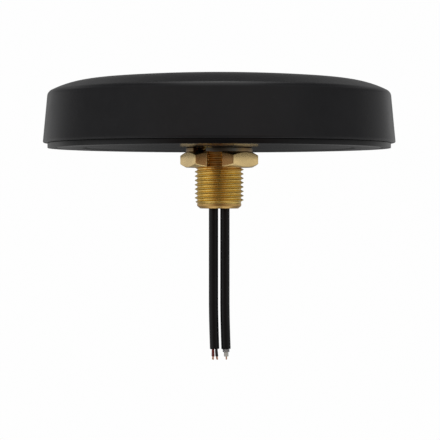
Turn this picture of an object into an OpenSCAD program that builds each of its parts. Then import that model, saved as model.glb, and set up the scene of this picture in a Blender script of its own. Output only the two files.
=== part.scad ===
// Receiver puck: a low round sealed housing on a hollow threaded stem. Two thin leads leave through
// the stem, and a slotted hex nut and an open washer clamp the housing to a panel.
// Millimetres. Origin on the axis, in the plane of the base underside. +Z points up, out of the
// dome. Straight forward is -Y. The data lead lies on the -X side, the coax lead on the +X side.

/* [Cover] */
// outside diameter over the lower lip of the cover
cover_d = 114.2; // [113.6:0.2:118]
// height of the cover's lower edge above the base underside
lip_z = 1.4; // [1.2:0.05:1.45]
// wall thickness of the cover
cover_wall = 2.2; // [1.8:0.1:2.2]
// how far the side wall leans in, from lip to shoulder
wall_lean = 1.44; // [1.2:0.02:1.8]
// height where the straight side wall ends
shoulder_z = 16.54; // [16.3:0.02:18]
// radius of the tight shoulder round
shoulder_r = 2.1; // [1.6:0.1:2.4]
// radius of the broad round between shoulder and crown
brow_r = 32.64; // [30:0.1:34]
// slope of the surface where the shoulder round ends, degrees
brow_slope = 26.49; // [25:0.1:28]
// slope of the surface where the crown starts, degrees
crown_slope = 5.31; // [5:0.05:6]

/* [Base] */
// diameter of the base plate's visible rim
base_d = 111.2; // [110.6:0.2:111.6]
// thickness of the base plate's floor
base_t = 3.0; // [3:0.1:3.2]
// number of screws that hold the cover on
cover_screw_n = 6; // [4, 6]
// radius of the circle the cover screws stand on
cover_screw_pr = 48.0; // [47.9:0.05:48.1]
// inner radius of the mounting gasket
gasket_ri = 43.1; // [40:0.1:44]
// outer radius of the mounting gasket
gasket_ro = 52.9; // [51.5:0.1:53]
// how far the free gasket stands proud of the base underside
gasket_proud = 0.3; // [0.3:0.05:0.4]
// how far the land round the gasket stands below the underside, where it stops the gasket's squeeze
rim_drop = 0.25; // [0.1:0.05:0.25]

/* [Stem] */
// outside diameter of the 5/8-18 thread
stem_d = 15.875; // [15.86:0.005:15.9]
// thread pitch
pitch = 1.4111; // [1.4:0.0001:1.42]
// length of the stem below the base underside
stem_len = 19.8; // [19.7:0.1:24]
// radius of the hole that carries the leads
stem_bore_r = 5.0; // [4.6:0.1:5.6]
// radius of the flange that holds the stem in the base
flange_r = 15.5; // [15:0.1:16]

/* [Nut and washer] */
// size across the nut's flats
nut_af = 22.2; // [21:0.1:25]
// height of the nut
nut_h = 5.0; // [4.6:0.1:5.2]
// gap between the base underside and the nut's upper face
nut_gap = 1.5; // [1.4:0.05:1.6]
// width of the slot that lets the leads into the nut and the washer
slot_w = 5.0; // [4:0.1:6]
// turn of the nut's slot from straight forward, degrees
slot_turn = 7.9; // [-30:0.1:30]
// thickness of the open washer
washer_t = 1.36; // [0.6:0.02:1.36]
// outer radius of the open washer
washer_r = 10.8; // [9.8:0.1:11.5]
// turn of the washer's opening from straight forward, degrees
washer_turn = 37; // [-60:1:60]

/* [Leads] */
// diameter of each lead's jacket
lead_d = 3.05; // [2.6:0.05:3.1]
// distance between the two leads
lead_gap = 3.7; // [3.6:0.05:3.8]
// how far below the base underside the stripped ends reach
lead_len = 69; // [55:1:140]
// length of the stripped end below each jacket
strip_len = 3.5; // [2.5:0.5:12]

/* [Electronics] */
// diameter of the main board
board_d = 89; // [86:0.5:89]
// height of the board's lower face
board_z = 11.6; // [11.5:0.1:11.7]
// side of the lower ceramic patch
lower_side = 44; // [40:1:46]
// side of the upper ceramic patch
upper_side = 30; // [26:1:32]

/* [Hidden] */
$fn = 96;

BLACK = [0.10, 0.10, 0.105];
BASE_BLACK = [0.14, 0.14, 0.145];
RUBBER = [0.06, 0.06, 0.065];
FOAM = [0.20, 0.20, 0.22];
BRASS = [0.80, 0.64, 0.36];
STEEL = [0.62, 0.63, 0.65];
BOARD = [0.06, 0.27, 0.18];
MODULE_BLUE = [0.10, 0.16, 0.34];
CHIP = [0.08, 0.08, 0.09];
CERAMIC = [0.84, 0.80, 0.70];
SILVER = [0.80, 0.80, 0.78];
TIN = [0.70, 0.71, 0.72];
IVORY = [0.88, 0.86, 0.78];
COPPER = [0.80, 0.48, 0.30];
WIRE_RED = [0.75, 0.30, 0.20];

face_gap = 0.02;                    // clearance between faces that meet
seat_z = base_t + 0.05;             // underside of parts that stand on the base floor

// cover outline: side wall, shoulder round, brow round, crown, each tangent to the next
function unit(angle) = [cos(angle), sin(angle)];
lip_r = cover_d / 2;
wall_top = [lip_r - wall_lean, shoulder_z];
wall_slope = wall_lean / (shoulder_z - lip_z);
brow_angle = 90 - brow_slope;
crown_angle = 90 - crown_slope;
shoulder_centre = wall_top - shoulder_r * unit(atan(wall_slope));
brow_start = shoulder_centre + shoulder_r * unit(brow_angle);
brow_centre = brow_start - brow_r * unit(brow_angle);
crown_start = brow_centre + brow_r * unit(crown_angle);
crown_r = crown_start[0] / cos(crown_angle);
crown_centre = [0, crown_start[1] - crown_r * sin(crown_angle)];
// inside radius of the side wall at height z
function inner_r(z) = lip_r - cover_wall - (z - lip_z) * wall_slope;

// base plate
pad_z = base_t + 1.5;               // top of the pad under the stem flange
recess_h = 0.85;                    // depth of the gasket recess
tongue_top = base_t + 3.5;
tongue_ro = inner_r(tongue_top) - 0.35;
tongue_ri = tongue_ro - 2.4;
groove_low = base_t + 0.75;         // seal groove round the tongue
groove_top = base_t + 2.65;
stem_groove_r = 9.85;               // middle of the stem seal's groove
stem_groove_w = 1.8;
stem_groove_h = 1.3;
board_screw_pr = 38;                // radii of the screw circles
stem_screw_pr = 12.4;

// stem
stem_r = stem_d / 2;
flange_z = pad_z + 0.05;
flange_top = flange_z + 2.5;
free_z = -6.97;                     // start of the stem's free thread below the nut
thread_end = -stem_len + 1.7;

// leads
lead_r = lead_d / 2;
lead_x = lead_gap / 2;
lead_z = 9;                         // height of the leads inside
bend_r = 6;
lead_end_x = 27;                    // where the jackets end inside
core_offset = 0.55;                 // data cores stand at +- this from their lead's axis
saddle_x = 20.5;                    // middle of each saddle
saddle_l = 6;                       // length of each saddle along its lead
saddle_screw_y = 5.4;
swing_z = -stem_len - 1.8;          // pivot of each free lead
// height of a point in the stripped end: share 0 is the tip, 1 the end of the jacket
function strip_level(share) = -lead_len + share * strip_len;
jacket_end_z = strip_level(1);

// board and patch stack
board_t = 1.6;
board_top = board_z + board_t;
film = 0.12;                        // metal film on the patches
electrode_margin = 2;               // ceramic left bare round each film
lower_t = 3.78;
lower_z = board_top + face_gap;
upper_t = 2.8;
upper_z = lower_z + lower_t + film + face_gap;
film_top = upper_z + upper_t + film;
feed_points = [[6, 0], [0, 6], [-6, 0], [0, -6]];

// link antenna
carrier_top = base_t + 13.4;
antenna_x = 32.6;

// ---- shared shapes and patterns ----

module ring(outer_r, inner_r, z0, z1) {
    translate([0, 0, z0]) difference() {
        cylinder(h = z1 - z0, r = outer_r);
        translate([0, 0, -1]) cylinder(h = z1 - z0 + 2, r = inner_r);
    }
}

module rod_x(r, h) {
    rotate([0, 90, 0]) cylinder(h = h, r = r);
}

module around(count, circle_r, first) {
    for (i = [0 : count - 1])
        rotate([0, 0, first + i * 360 / count]) translate([circle_r, 0, 0]) children();
}

module at_cover_screws() {
    around(cover_screw_n, cover_screw_pr, 30) children();
}

module at_board_screws() {
    around(4, board_screw_pr, 45) children();
}

module at_stem_screws() {
    around(4, stem_screw_pr, 45) children();
}

module on_both_sides() {
    for (turn = [0, 180]) rotate([0, 0, turn]) children();
}

module at_saddle_ears() {
    for (side = [-1, 1]) translate([saddle_x, side * saddle_screw_y, 0]) children();
}

module at_feeds() {
    for (point = feed_points) translate([point[0], point[1], 0]) children();
}

module feed_holes(z0, h) {
    at_feeds() translate([0, 0, z0]) cylinder(h = h, r = 0.56, $fn = 24);
}

// pan-head screw, shank down from z = 0 and head above it
module screw(shank_r, len, head_r, head_h) {
    tip_h = shank_r * 0.6;
    rim_h = head_h * 0.6;
    difference() {
        union() {
            translate([0, 0, -len + tip_h]) cylinder(h = len - tip_h + 0.5, r = shank_r, $fn = 32);
            translate([0, 0, -len]) cylinder(h = tip_h, r1 = shank_r * 0.4, r2 = shank_r, $fn = 32);
            translate([0, 0, face_gap]) cylinder(h = rim_h, r = head_r, $fn = 48);
            translate([0, 0, face_gap + rim_h])
                cylinder(h = head_h * 0.4, r1 = head_r, r2 = head_r * 0.72, $fn = 48);
        }
        translate([0, 0, head_h * 0.35]) cylinder(h = head_h, r = head_r * 0.42, $fn = 6);
    }
}

// ---- cover ----

// the part of a disc that lies inside a polygon
module disc_part(centre, r, window) {
    intersection() {
        translate(centre) circle(r = r);
        polygon(window);
    }
}

module cover_outline() {
    out = [6, 6];                   // reaches past the rounds
    polygon([[0, lip_z], [lip_r - 0.4, lip_z], [lip_r - 0.04, lip_z + 0.38],
        wall_top, brow_start, crown_start, [0, crown_start[1]]]);
    disc_part(shoulder_centre, shoulder_r,
        [wall_top, wall_top + out, brow_start + out, brow_start], $fn = 180);
    disc_part(brow_centre, brow_r,
        [brow_start, brow_start + out, crown_start + out, crown_start], $fn = 720);
    disc_part(crown_centre, crown_r,
        [crown_start, crown_start + [0, 6], [0, crown_start[1] + 6], [0, crown_start[1]]],
        $fn = 1440);
}

module cavity_outline() {
    low = lip_z - 1;
    crown_x = (brow_centre + (brow_r - cover_wall) * unit(crown_angle))[0];
    intersection() {
        polygon([[0, low], [inner_r(low), low], [inner_r(30), 30], [0, 30]]);
        union() {
            disc_part(crown_centre, crown_r - cover_wall,
                [[0, low], [crown_x, low], [crown_x, 40], [0, 40]], $fn = 1440);
            disc_part(brow_centre, brow_r - cover_wall,
                [[crown_x, low], [60, low], [60, 40], [crown_x, 40]], $fn = 720);
        }
    }
}

// cover: drafted wall, tight shoulder, low crown, screw bosses inside
module radome() {
    boss_top = brow_start[1] + 0.95;
    color(BLACK) difference() {
        union() {
            rotate_extrude($fn = 180) difference() {
                cover_outline();
                cavity_outline();
            }
            at_cover_screws()
                translate([0, 0, seat_z]) cylinder(h = boss_top - seat_z, r = 3.2, $fn = 48);
        }
        // insert socket, then the deeper screw hole
        at_cover_screws() {
            translate([0, 0, base_t - 1]) cylinder(h = 7.2, r = 2.36, $fn = 48);
            translate([0, 0, base_t]) cylinder(h = 9.5, r = 1.6, $fn = 32);
        }
    }
}

module cover_inserts() {
    color(BRASS) at_cover_screws() ring(2.3, 1.56, base_t + 0.15, base_t + 5.8);
}

// ---- patch stack ----

module foam_pad() {
    color(FOAM) translate([0, 0, film_top + 0.24]) cylinder(h = 0.65, r = 14);
}

// film on a patch, with two opposite corners trimmed to set the patch's tuning
module electrode(patch_side, z) {
    side = patch_side - 2 * electrode_margin;
    translate([0, 0, z]) difference() {
        translate([-side / 2, -side / 2, 0]) cube([side, side, film]);
        for (end = [-1, 1])
            translate([end * side / 2, end * side / 2, film / 2])
                rotate([0, 0, 45]) cube([3.2, 3.2, 1], center = true);
        feed_holes(-1, 2);
    }
}

// ceramic square with its four corners cut off
module patch(side, z, t) {
    difference() {
        translate([-side / 2, -side / 2, z]) cube([side, side, t]);
        around(4, side * 0.7071 + 1.2, 45)
            translate([0, 0, z + t / 2]) cube([4, 6, t + 1], center = true);
        feed_holes(z - 1, t + 2);
    }
}

module upper_electrode() {
    color(SILVER) electrode(upper_side, upper_z + upper_t);
}

module upper_patch() {
    color(CERAMIC) patch(upper_side, upper_z, upper_t);
}

module lower_electrode() {
    color(SILVER) electrode(lower_side, lower_z + lower_t);
}

module lower_patch() {
    color(CERAMIC) patch(lower_side, lower_z, lower_t);
}

module feed_pins() {
    head_z = film_top + 0.01;
    color(BRASS) at_feeds() {
        translate([0, 0, board_z - 0.6]) cylinder(h = head_z - board_z + 0.7, r = 0.5, $fn = 24);
        translate([0, 0, head_z]) cylinder(h = 0.18, r = 0.95, $fn = 32);
    }
}

// ---- board ----

// disc cut off straight on the +X side, beside the link carrier
module main_board() {
    flat_x = 31;
    color(BOARD) difference() {
        translate([0, 0, board_z]) cylinder(h = board_t, r = board_d / 2);
        translate([flat_x, -50, board_z - 1]) cube([40, 100, 4]);
        at_board_screws() translate([0, 0, board_z - 1]) cylinder(h = 4, r = 1.2, $fn = 32);
        feed_holes(board_z - 1, 4);
    }
}

// parts under the board: centre x, centre y, width, depth, height
CHIPS = [
    [-20, 10, 7, 7, 1.2], [-30, 14, 5, 4, 1.6], [-22, -12, 6, 5, 1.2], [-31, -15, 4, 6, 2.0],
    [-14, -33, 5, 3.2, 1.4], [14, -33, 3.2, 5, 1.4], [22, 14, 5, 5, 1.0], [22, 24, 3.2, 2.5, 0.9],
    [22, -14, 6, 6, 1.2], [20, -25, 4, 4, 1.8], [-19.5, 23, 3.2, 1.6, 0.8], [-20, 30, 1.6, 3.2, 0.8],
    [25, 8, 2, 1.2, 0.6], [25, -7.5, 2, 1.2, 0.6], [-14, -11.5, 2, 1.2, 0.6], [-14, 12, 2, 1.2, 0.6]];

module board_chips() {
    color(CHIP) for (chip = CHIPS)
        translate([chip[0] - chip[2] / 2, chip[1] - chip[3] / 2, board_z - chip[4] - 0.01])
            cube([chip[2], chip[3], chip[4]]);
}

// small board with two blocks on its underside
module receiver_module() {
    color(MODULE_BLUE) {
        translate([-10.5, 18.5, board_z - 0.85]) cube([21, 17, 0.8]);
        translate([-7, 22, board_z - 2.2]) cube([9, 9, 1.36]);
        translate([4.5, 23, board_z - 1.9]) cube([4, 5, 1.06]);
    }
}

// open box hung under the board with its mouth up and nine vent holes in its lid
module shield(centre_y, w, d, h) {
    wall = 0.3;
    translate([0, centre_y, board_z - face_gap - h]) difference() {
        translate([-w / 2, -d / 2, 0]) cube([w, d, h]);
        translate([-w / 2 + wall, -d / 2 + wall, wall]) cube([w - 2 * wall, d - 2 * wall, h]);
        for (i = [-1 : 1], j = [-1 : 1])
            translate([i * w / 4, j * d / 4, -1]) cylinder(h = 2, r = 0.5, $fn = 24);
    }
}

module receiver_shield() {
    color(TIN) shield(centre_y = 27, w = 26, d = 22, h = 3.2);
}

module front_end_shield() {
    color(TIN) shield(centre_y = -25, w = 20, d = 16, h = 2.6);
}

module board_screws() {
    color(STEEL) at_board_screws() translate([0, 0, board_top])
        screw(shank_r = 1.0, len = 6.5, head_r = 2.2, head_h = 1.5);
}

// ---- leads inside the housing ----

module data_plug() {
    plug_z = 6.9;
    color(IVORY) difference() {
        translate([-37.5, -5, plug_z]) cube([7.5, 10, board_z - face_gap - plug_z]);
        translate([-36.5, -4.2, 6.0]) cube([1.2, 8.4, 2]);
        at_wires() translate([-35, 0, 0]) rod_x(r = 0.44, h = 10, $fn = 24);
    }
}

// the four level wires of the data lead
module at_wires() {
    for (y = [-core_offset, core_offset], z = [-core_offset, core_offset])
        translate([0, y, lead_z + z]) children();
}

module data_wires_inner() {
    start_x = -33;
    color(WIRE_RED) at_wires() translate([start_x, 0, 0])
        rod_x(r = 0.4, h = -start_x - lead_end_x - face_gap, $fn = 24);
}

// lead inside the housing: up the stem, round a bend, then level along +X
module inner_lead() {
    low_z = -stem_len - 0.2;
    bend_x = lead_x + bend_r;
    bend_z = lead_z - bend_r;
    translate([lead_x, 0, low_z]) cylinder(h = bend_z - low_z, r = lead_r, $fn = 48);
    translate([bend_x, 0, bend_z]) rotate([90, 0, 180]) rotate_extrude(angle = 90, $fn = 96)
        translate([bend_r, 0]) circle(r = lead_r, $fn = 48);
    translate([bend_x, 0, lead_z]) rod_x(r = lead_r, h = lead_end_x - bend_x, $fn = 48);
}

module data_lead_inner() {
    color(BLACK) rotate([0, 0, 180]) inner_lead();
}

module coax_lead_inner() {
    color(BLACK) inner_lead();
}

module coax_ferrule() {
    color(BRASS) translate([lead_end_x + face_gap, 0, lead_z]) rotate([0, 90, 0]) difference() {
        union() {
            cylinder(h = 2.6, r = 1.9, $fn = 48);
            translate([0, 0, 0.6]) cylinder(h = 0.6, r = 2.1, $fn = 6);
        }
        translate([0, 0, -1]) cylinder(h = 5, r = 0.8, $fn = 32);
    }
}

// insulated stub and the thin core that runs up to the antenna
module coax_feed() {
    start_x = lead_end_x + 0.1;
    color(IVORY) translate([start_x, 0, lead_z]) {
        rod_x(r = 0.75, h = 4.2, $fn = 32);
        rod_x(r = 0.25, h = antenna_x - face_gap - start_x, $fn = 24);
    }
}

// block with a bore for the lead and two screw ears
module saddle() {
    start_x = saddle_x - saddle_l / 2;
    difference() {
        union() {
            translate([start_x, -3.2, seat_z]) cube([saddle_l, 6.4, lead_z + 2.2 - seat_z]);
            translate([start_x, -7.6, seat_z]) cube([saddle_l, 15.2, 3]);
        }
        translate([10, 0, lead_z]) rod_x(r = lead_r + 0.06, h = 20, $fn = 48);
        at_saddle_ears() translate([0, 0, base_t - 1]) cylinder(h = 6, r = 1.3, $fn = 32);
    }
}

module cable_saddles() {
    color(CHIP) on_both_sides() saddle();
}

module saddle_screws() {
    color(STEEL) on_both_sides() at_saddle_ears() translate([0, 0, seat_z + 3])
        screw(shank_r = 1.2, len = 4.7, head_r = 2.05, head_h = 1.4);
}

// ---- link antenna ----

// box on the +X side, hollow and open below, with a window through both end walls
module link_carrier() {
    color(CHIP) difference() {
        intersection() {
            translate([33, -18, seat_z]) cube([20, 36, carrier_top - seat_z]);
            translate([0, 0, 2]) cylinder(h = 20, r = 50.4);
        }
        translate([34.4, -16.4, 2]) cube([11.2, 32.8, 12.9]);
        translate([36, -30, 2]) cube([8, 60, 8]);
    }
}

// sheet on top of the carrier, slotted from alternate ends, with two legs down its inner edge
module link_antenna() {
    sheet_z = carrier_top + face_gap;
    sheet_t = 0.3;
    slot = 2.2;
    leg_w = 4;
    legs = [[-2, lead_z - 1.5], [-13, base_t + 0.1]];   // lower y, foot z
    color(COPPER) {
        difference() {
            intersection() {
                translate([antenna_x, -17, sheet_z]) cube([16, 34, sheet_t]);
                cylinder(h = 30, r = 49.6);
            }
            translate([36, -8, sheet_z - 1]) cube([slot, 30, 2]);
            translate([41.5, -30, sheet_z - 1]) cube([slot, 38, 2]);
        }
        for (leg = legs)
            translate([antenna_x, leg[0], leg[1]]) cube([sheet_t, leg_w, sheet_z + 0.1 - leg[1]]);
    }
}

// ---- base ----

// base plate: visible rim, floor, sealing tongue, board posts, pad for the stem flange
module base_plate() {
    rim_r = base_d / 2;
    rim_top = lip_z - 0.05;
    floor_r = inner_r(base_t) - 0.25;
    groove_r = tongue_ro - 1.2;
    pad_r = 17;
    post_z = base_t - 0.5;
    pilot_z = 1.2;                  // floor of the blind screw holes
    sink_r = 2.95;                  // countersinks for the cover screws
    hole_r = 1.62;
    color(BASE_BLACK) difference() {
        union() {
            rotate_extrude($fn = 180) polygon([
                [0, 0], [gasket_ro, 0], [gasket_ro, -rim_drop], [rim_r - 0.25, -rim_drop],
                [rim_r, 0.25 - rim_drop], [rim_r, rim_top], [floor_r, rim_top], [floor_r, base_t],
                [tongue_ro, base_t], [tongue_ro, groove_low], [groove_r, groove_low],
                [groove_r, groove_top], [tongue_ro, groove_top], [tongue_ro, tongue_top],
                [tongue_ri, tongue_top], [tongue_ri, base_t], [pad_r, base_t], [pad_r, pad_z],
                [0, pad_z]]);
            at_board_screws() translate([0, 0, post_z])
                cylinder(h = board_z - face_gap - post_z, r = 3.0, $fn = 48);
        }
        translate([0, 0, -1]) cylinder(h = 8, r = 7.7);
        ring(gasket_ro + 0.1, gasket_ri - 0.1, -1, recess_h);
        ring(stem_groove_r + stem_groove_w / 2, stem_groove_r - stem_groove_w / 2,
            pad_z - stem_groove_h, pad_z + 1);
        at_board_screws() translate([0, 0, base_t + 2.5]) cylinder(h = 12, r = 1.05, $fn = 32);
        at_stem_screws() translate([0, 0, pilot_z]) cylinder(h = 6, r = 1.3, $fn = 32);
        on_both_sides() at_saddle_ears()
            translate([0, 0, pilot_z]) cylinder(h = 6, r = 1.25, $fn = 32);
        at_cover_screws() {
            translate([0, 0, -1]) cylinder(h = 8, r = hole_r, $fn = 32);
            translate([0, 0, recess_h - 0.1]) cylinder(h = 0.25, r = sink_r, $fn = 48);
            translate([0, 0, recess_h + 0.15])
                cylinder(h = 1.33, r1 = sink_r, r2 = hole_r, $fn = 48);
        }
    }
}

module cover_seal() {
    color(RUBBER) translate([0, 0, (groove_low + groove_top) / 2]) rotate_extrude($fn = 180)
        translate([tongue_ro - 0.35, 0]) circle(r = 0.8, $fn = 48);
}

// countersunk screws, heads down in the gasket recess
module cover_screws() {
    shank_r = 1.5;
    color(STEEL) at_cover_screws() difference() {
        union() {
            translate([0, 0, recess_h + 0.16]) cylinder(h = 1.3, r1 = 2.85, r2 = shank_r, $fn = 48);
            translate([0, 0, recess_h + 1.4]) cylinder(h = 7.4, r = shank_r, $fn = 48);
            translate([0, 0, recess_h + 8.8]) cylinder(h = 0.8, r1 = shank_r, r2 = 0.7, $fn = 48);
        }
        cylinder(h = recess_h + 1.3, r = 1.1, $fn = 6);
    }
}

module mounting_gasket() {
    bevel = 1.2;
    top = recess_h - 0.03;
    color(RUBBER) rotate_extrude() polygon([
        [gasket_ri, top], [gasket_ri, 0], [gasket_ri + bevel, -gasket_proud],
        [gasket_ro - bevel, -gasket_proud], [gasket_ro, 0], [gasket_ro, top]]);
}

// ---- stem ----

// stem outline from the flange down: crests of the thread as bands, roots as V grooves.
// The free length below the nut keeps broad crests, which carry a gauge or a panel hole.
function groove(z, w, depth) = [[stem_r, z + w / 2], [stem_r - depth, z + 0.06],
    [stem_r - depth, z - 0.06], [stem_r, z - w / 2]];
near_n = 5;                         // grooves above the free thread
near_w = 1.15;
free_n = floor((free_z - thread_end - 1.3) / pitch) + 1;

module threaded_stem() {
    near = [for (i = [0 : near_n - 1])
        each groove(free_z + near_w / 2 + (near_n - 1 - i) * pitch, near_w, 0.74)];
    free = [for (i = [0 : free_n - 1]) each groove(free_z - 0.84 - i * pitch, 0.46, 0.45)];
    edge = 0.3;                     // chamfer of the flange
    neck_r = 7.6;
    end_r = 7.2;
    color(BRASS) difference() {
        rotate_extrude($fn = 144) polygon(concat(
            [[0, -stem_len], [0, flange_top], [flange_r - edge, flange_top],
                [flange_r, flange_top - edge], [flange_r, flange_z], [neck_r, flange_z],
                [neck_r, -0.06], [stem_r, -0.12]],
            near, free,
            [[stem_r, thread_end], [end_r, thread_end - 0.12], [end_r, -stem_len + 0.8],
                [6.5, -stem_len]]));
        translate([0, 0, -stem_len - 1]) cylinder(h = stem_len + 3.5, r = stem_bore_r);
        // the bore flares out to the top of the flange
        translate([0, 0, 2.49]) cylinder(h = flange_top - 2.48, r1 = stem_bore_r, r2 = 8);
        at_stem_screws() translate([0, 0, flange_z - 1]) cylinder(h = 6, r = 1.35, $fn = 32);
    }
}

module stem_seal() {
    color(RUBBER) translate([0, 0, pad_z - stem_groove_h / 2]) rotate_extrude($fn = 96)
        translate([stem_groove_r, 0]) circle(r = 0.62, $fn = 32);
}

module stem_screws() {
    color(STEEL) at_stem_screws() translate([0, 0, flange_top])
        screw(shank_r = 1.25, len = 5.6, head_r = 2.2, head_h = 1.5);
}

module cable_grommet() {
    color(RUBBER) difference() {
        translate([0, 0, -stem_len + 0.9]) cylinder(h = 4, r = stem_bore_r - face_gap);
        for (side = [-1, 1])
            translate([side * lead_x, 0, -stem_len]) cylinder(h = 8, r = lead_r + 0.03, $fn = 48);
    }
}

// ---- nut and washer ----

// cut from the axis out to -Y
module front_slot(z0, h) {
    translate([-slot_w / 2, -20, z0]) cube([slot_w, 20, h]);
}

// open washer: slips over the leads like the nut
module lock_washer() {
    low_z = -nut_gap + face_gap;
    color(BRASS) difference() {
        ring(washer_r, stem_r + 0.08, low_z, low_z + washer_t);
        rotate([0, 0, -washer_turn]) front_slot(-3, 5);
    }
}

// hex nut with both faces chamfered and one flat slotted through to the bore
module hex_nut() {
    corner_r = nut_af / 2 / cos(30);
    turned_r = corner_r + 0.2;
    face_r = nut_af / 2 - 0.25;
    chamfer_h = (turned_r - face_r) * 0.577;
    color(BRASS) translate([0, 0, -nut_gap - nut_h]) rotate([0, 0, -slot_turn]) difference() {
        intersection() {
            cylinder(h = nut_h, r = corner_r, $fn = 6);
            rotate_extrude($fn = 144) polygon([[0, 0], [face_r, 0], [turned_r, chamfer_h],
                [turned_r, nut_h - chamfer_h], [face_r, nut_h], [0, nut_h]]);
        }
        translate([0, 0, -1]) cylinder(h = nut_h + 2, r = stem_r + 0.0625, $fn = 144);
        // both ends of the bore flare
        for (end = [0, 1]) translate([0, 0, nut_h / 2]) mirror([0, 0, end])
            translate([0, 0, nut_h / 2 - 0.5])
                cylinder(h = 0.51, r1 = stem_r + 0.06, r2 = stem_r + 0.57, $fn = 144);
        front_slot(-1, nut_h + 2);
    }
}

// ---- free leads ----

// free lead: round top end centred on its pivot, so it can swing clear of the inner lead
module free_jacket(side) {
    translate([side * lead_x, 0, jacket_end_z])
        cylinder(h = swing_z - jacket_end_z, r = lead_r, $fn = 48);
    translate([side * lead_x, 0, swing_z]) sphere(r = lead_r, $fn = 48);
}

// one layer of a stripped end, between two shares of its length
module stripped(from, to, r) {
    translate([0, 0, strip_level(from)]) cylinder(h = (to - from) * strip_len - face_gap, r = r);
}

module at_cores() {
    for (x = [-core_offset, core_offset], y = [-core_offset, core_offset])
        translate([-lead_x + x, y, 0]) children();
}

module data_jacket() {
    color(BLACK) free_jacket(-1);
}

module data_cores() {
    color(WIRE_RED) at_cores() stripped(from = 0.3, to = 1, r = 0.44, $fn = 24);
}

module data_conductors() {
    color(COPPER) at_cores() stripped(from = 0, to = 0.3, r = 0.22, $fn = 24);
}

module coax_jacket() {
    color(BLACK) free_jacket(1);
}

module coax_braid() {
    color(TIN) translate([lead_x, 0, 0]) stripped(from = 0.7, to = 1, r = 1.08, $fn = 48);
}

module coax_dielectric() {
    color(IVORY) translate([lead_x, 0, 0]) stripped(from = 0.3, to = 0.7, r = 0.76, $fn = 32);
}

module coax_core() {
    color(COPPER) translate([lead_x, 0, 0]) stripped(from = 0, to = 0.3, r = 0.25, $fn = 24);
}

radome();
cover_inserts();
foam_pad();
upper_electrode();
upper_patch();
lower_electrode();
lower_patch();
feed_pins();
main_board();
board_chips();
receiver_module();
receiver_shield();
front_end_shield();
board_screws();
data_plug();
data_wires_inner();
data_lead_inner();
coax_lead_inner();
coax_ferrule();
coax_feed();
link_carrier();
link_antenna();
cable_saddles();
saddle_screws();
base_plate();
cover_seal();
cover_screws();
mounting_gasket();
threaded_stem();
stem_seal();
stem_screws();
cable_grommet();
lock_washer();
hex_nut();
data_jacket();
data_cores();
data_conductors();
coax_jacket();
coax_braid();
coax_dielectric();
coax_core();
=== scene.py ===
# A round antenna housing: a low domed cover over a base plate, on a threaded brass stem with a
# slotted hex nut and an open washer. Two leads, data and coax, hang from the stem.
# The stem's axis is Z, with the base plate's underside at z = 0 and the leads pointing down.
# The front faces -Y. Shapes are given in millimetres and become metres when a mesh is made.
import math

import bmesh
import bpy
import numpy as np
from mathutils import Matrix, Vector


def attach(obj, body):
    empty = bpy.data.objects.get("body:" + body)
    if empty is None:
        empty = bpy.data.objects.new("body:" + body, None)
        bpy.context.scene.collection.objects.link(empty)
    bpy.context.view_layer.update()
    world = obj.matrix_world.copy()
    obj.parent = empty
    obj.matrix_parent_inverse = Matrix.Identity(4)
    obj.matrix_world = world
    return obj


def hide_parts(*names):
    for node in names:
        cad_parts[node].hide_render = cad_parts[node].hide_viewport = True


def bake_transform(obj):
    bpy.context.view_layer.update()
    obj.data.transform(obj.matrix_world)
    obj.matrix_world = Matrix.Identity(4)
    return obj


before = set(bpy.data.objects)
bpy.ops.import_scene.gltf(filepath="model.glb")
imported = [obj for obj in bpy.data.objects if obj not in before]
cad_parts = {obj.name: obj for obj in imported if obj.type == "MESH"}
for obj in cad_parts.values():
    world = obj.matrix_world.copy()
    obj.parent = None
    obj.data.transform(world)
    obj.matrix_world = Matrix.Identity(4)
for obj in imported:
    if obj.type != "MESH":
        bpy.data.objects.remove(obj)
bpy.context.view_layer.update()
MM = 0.001
TAU = 2 * math.pi


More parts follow.
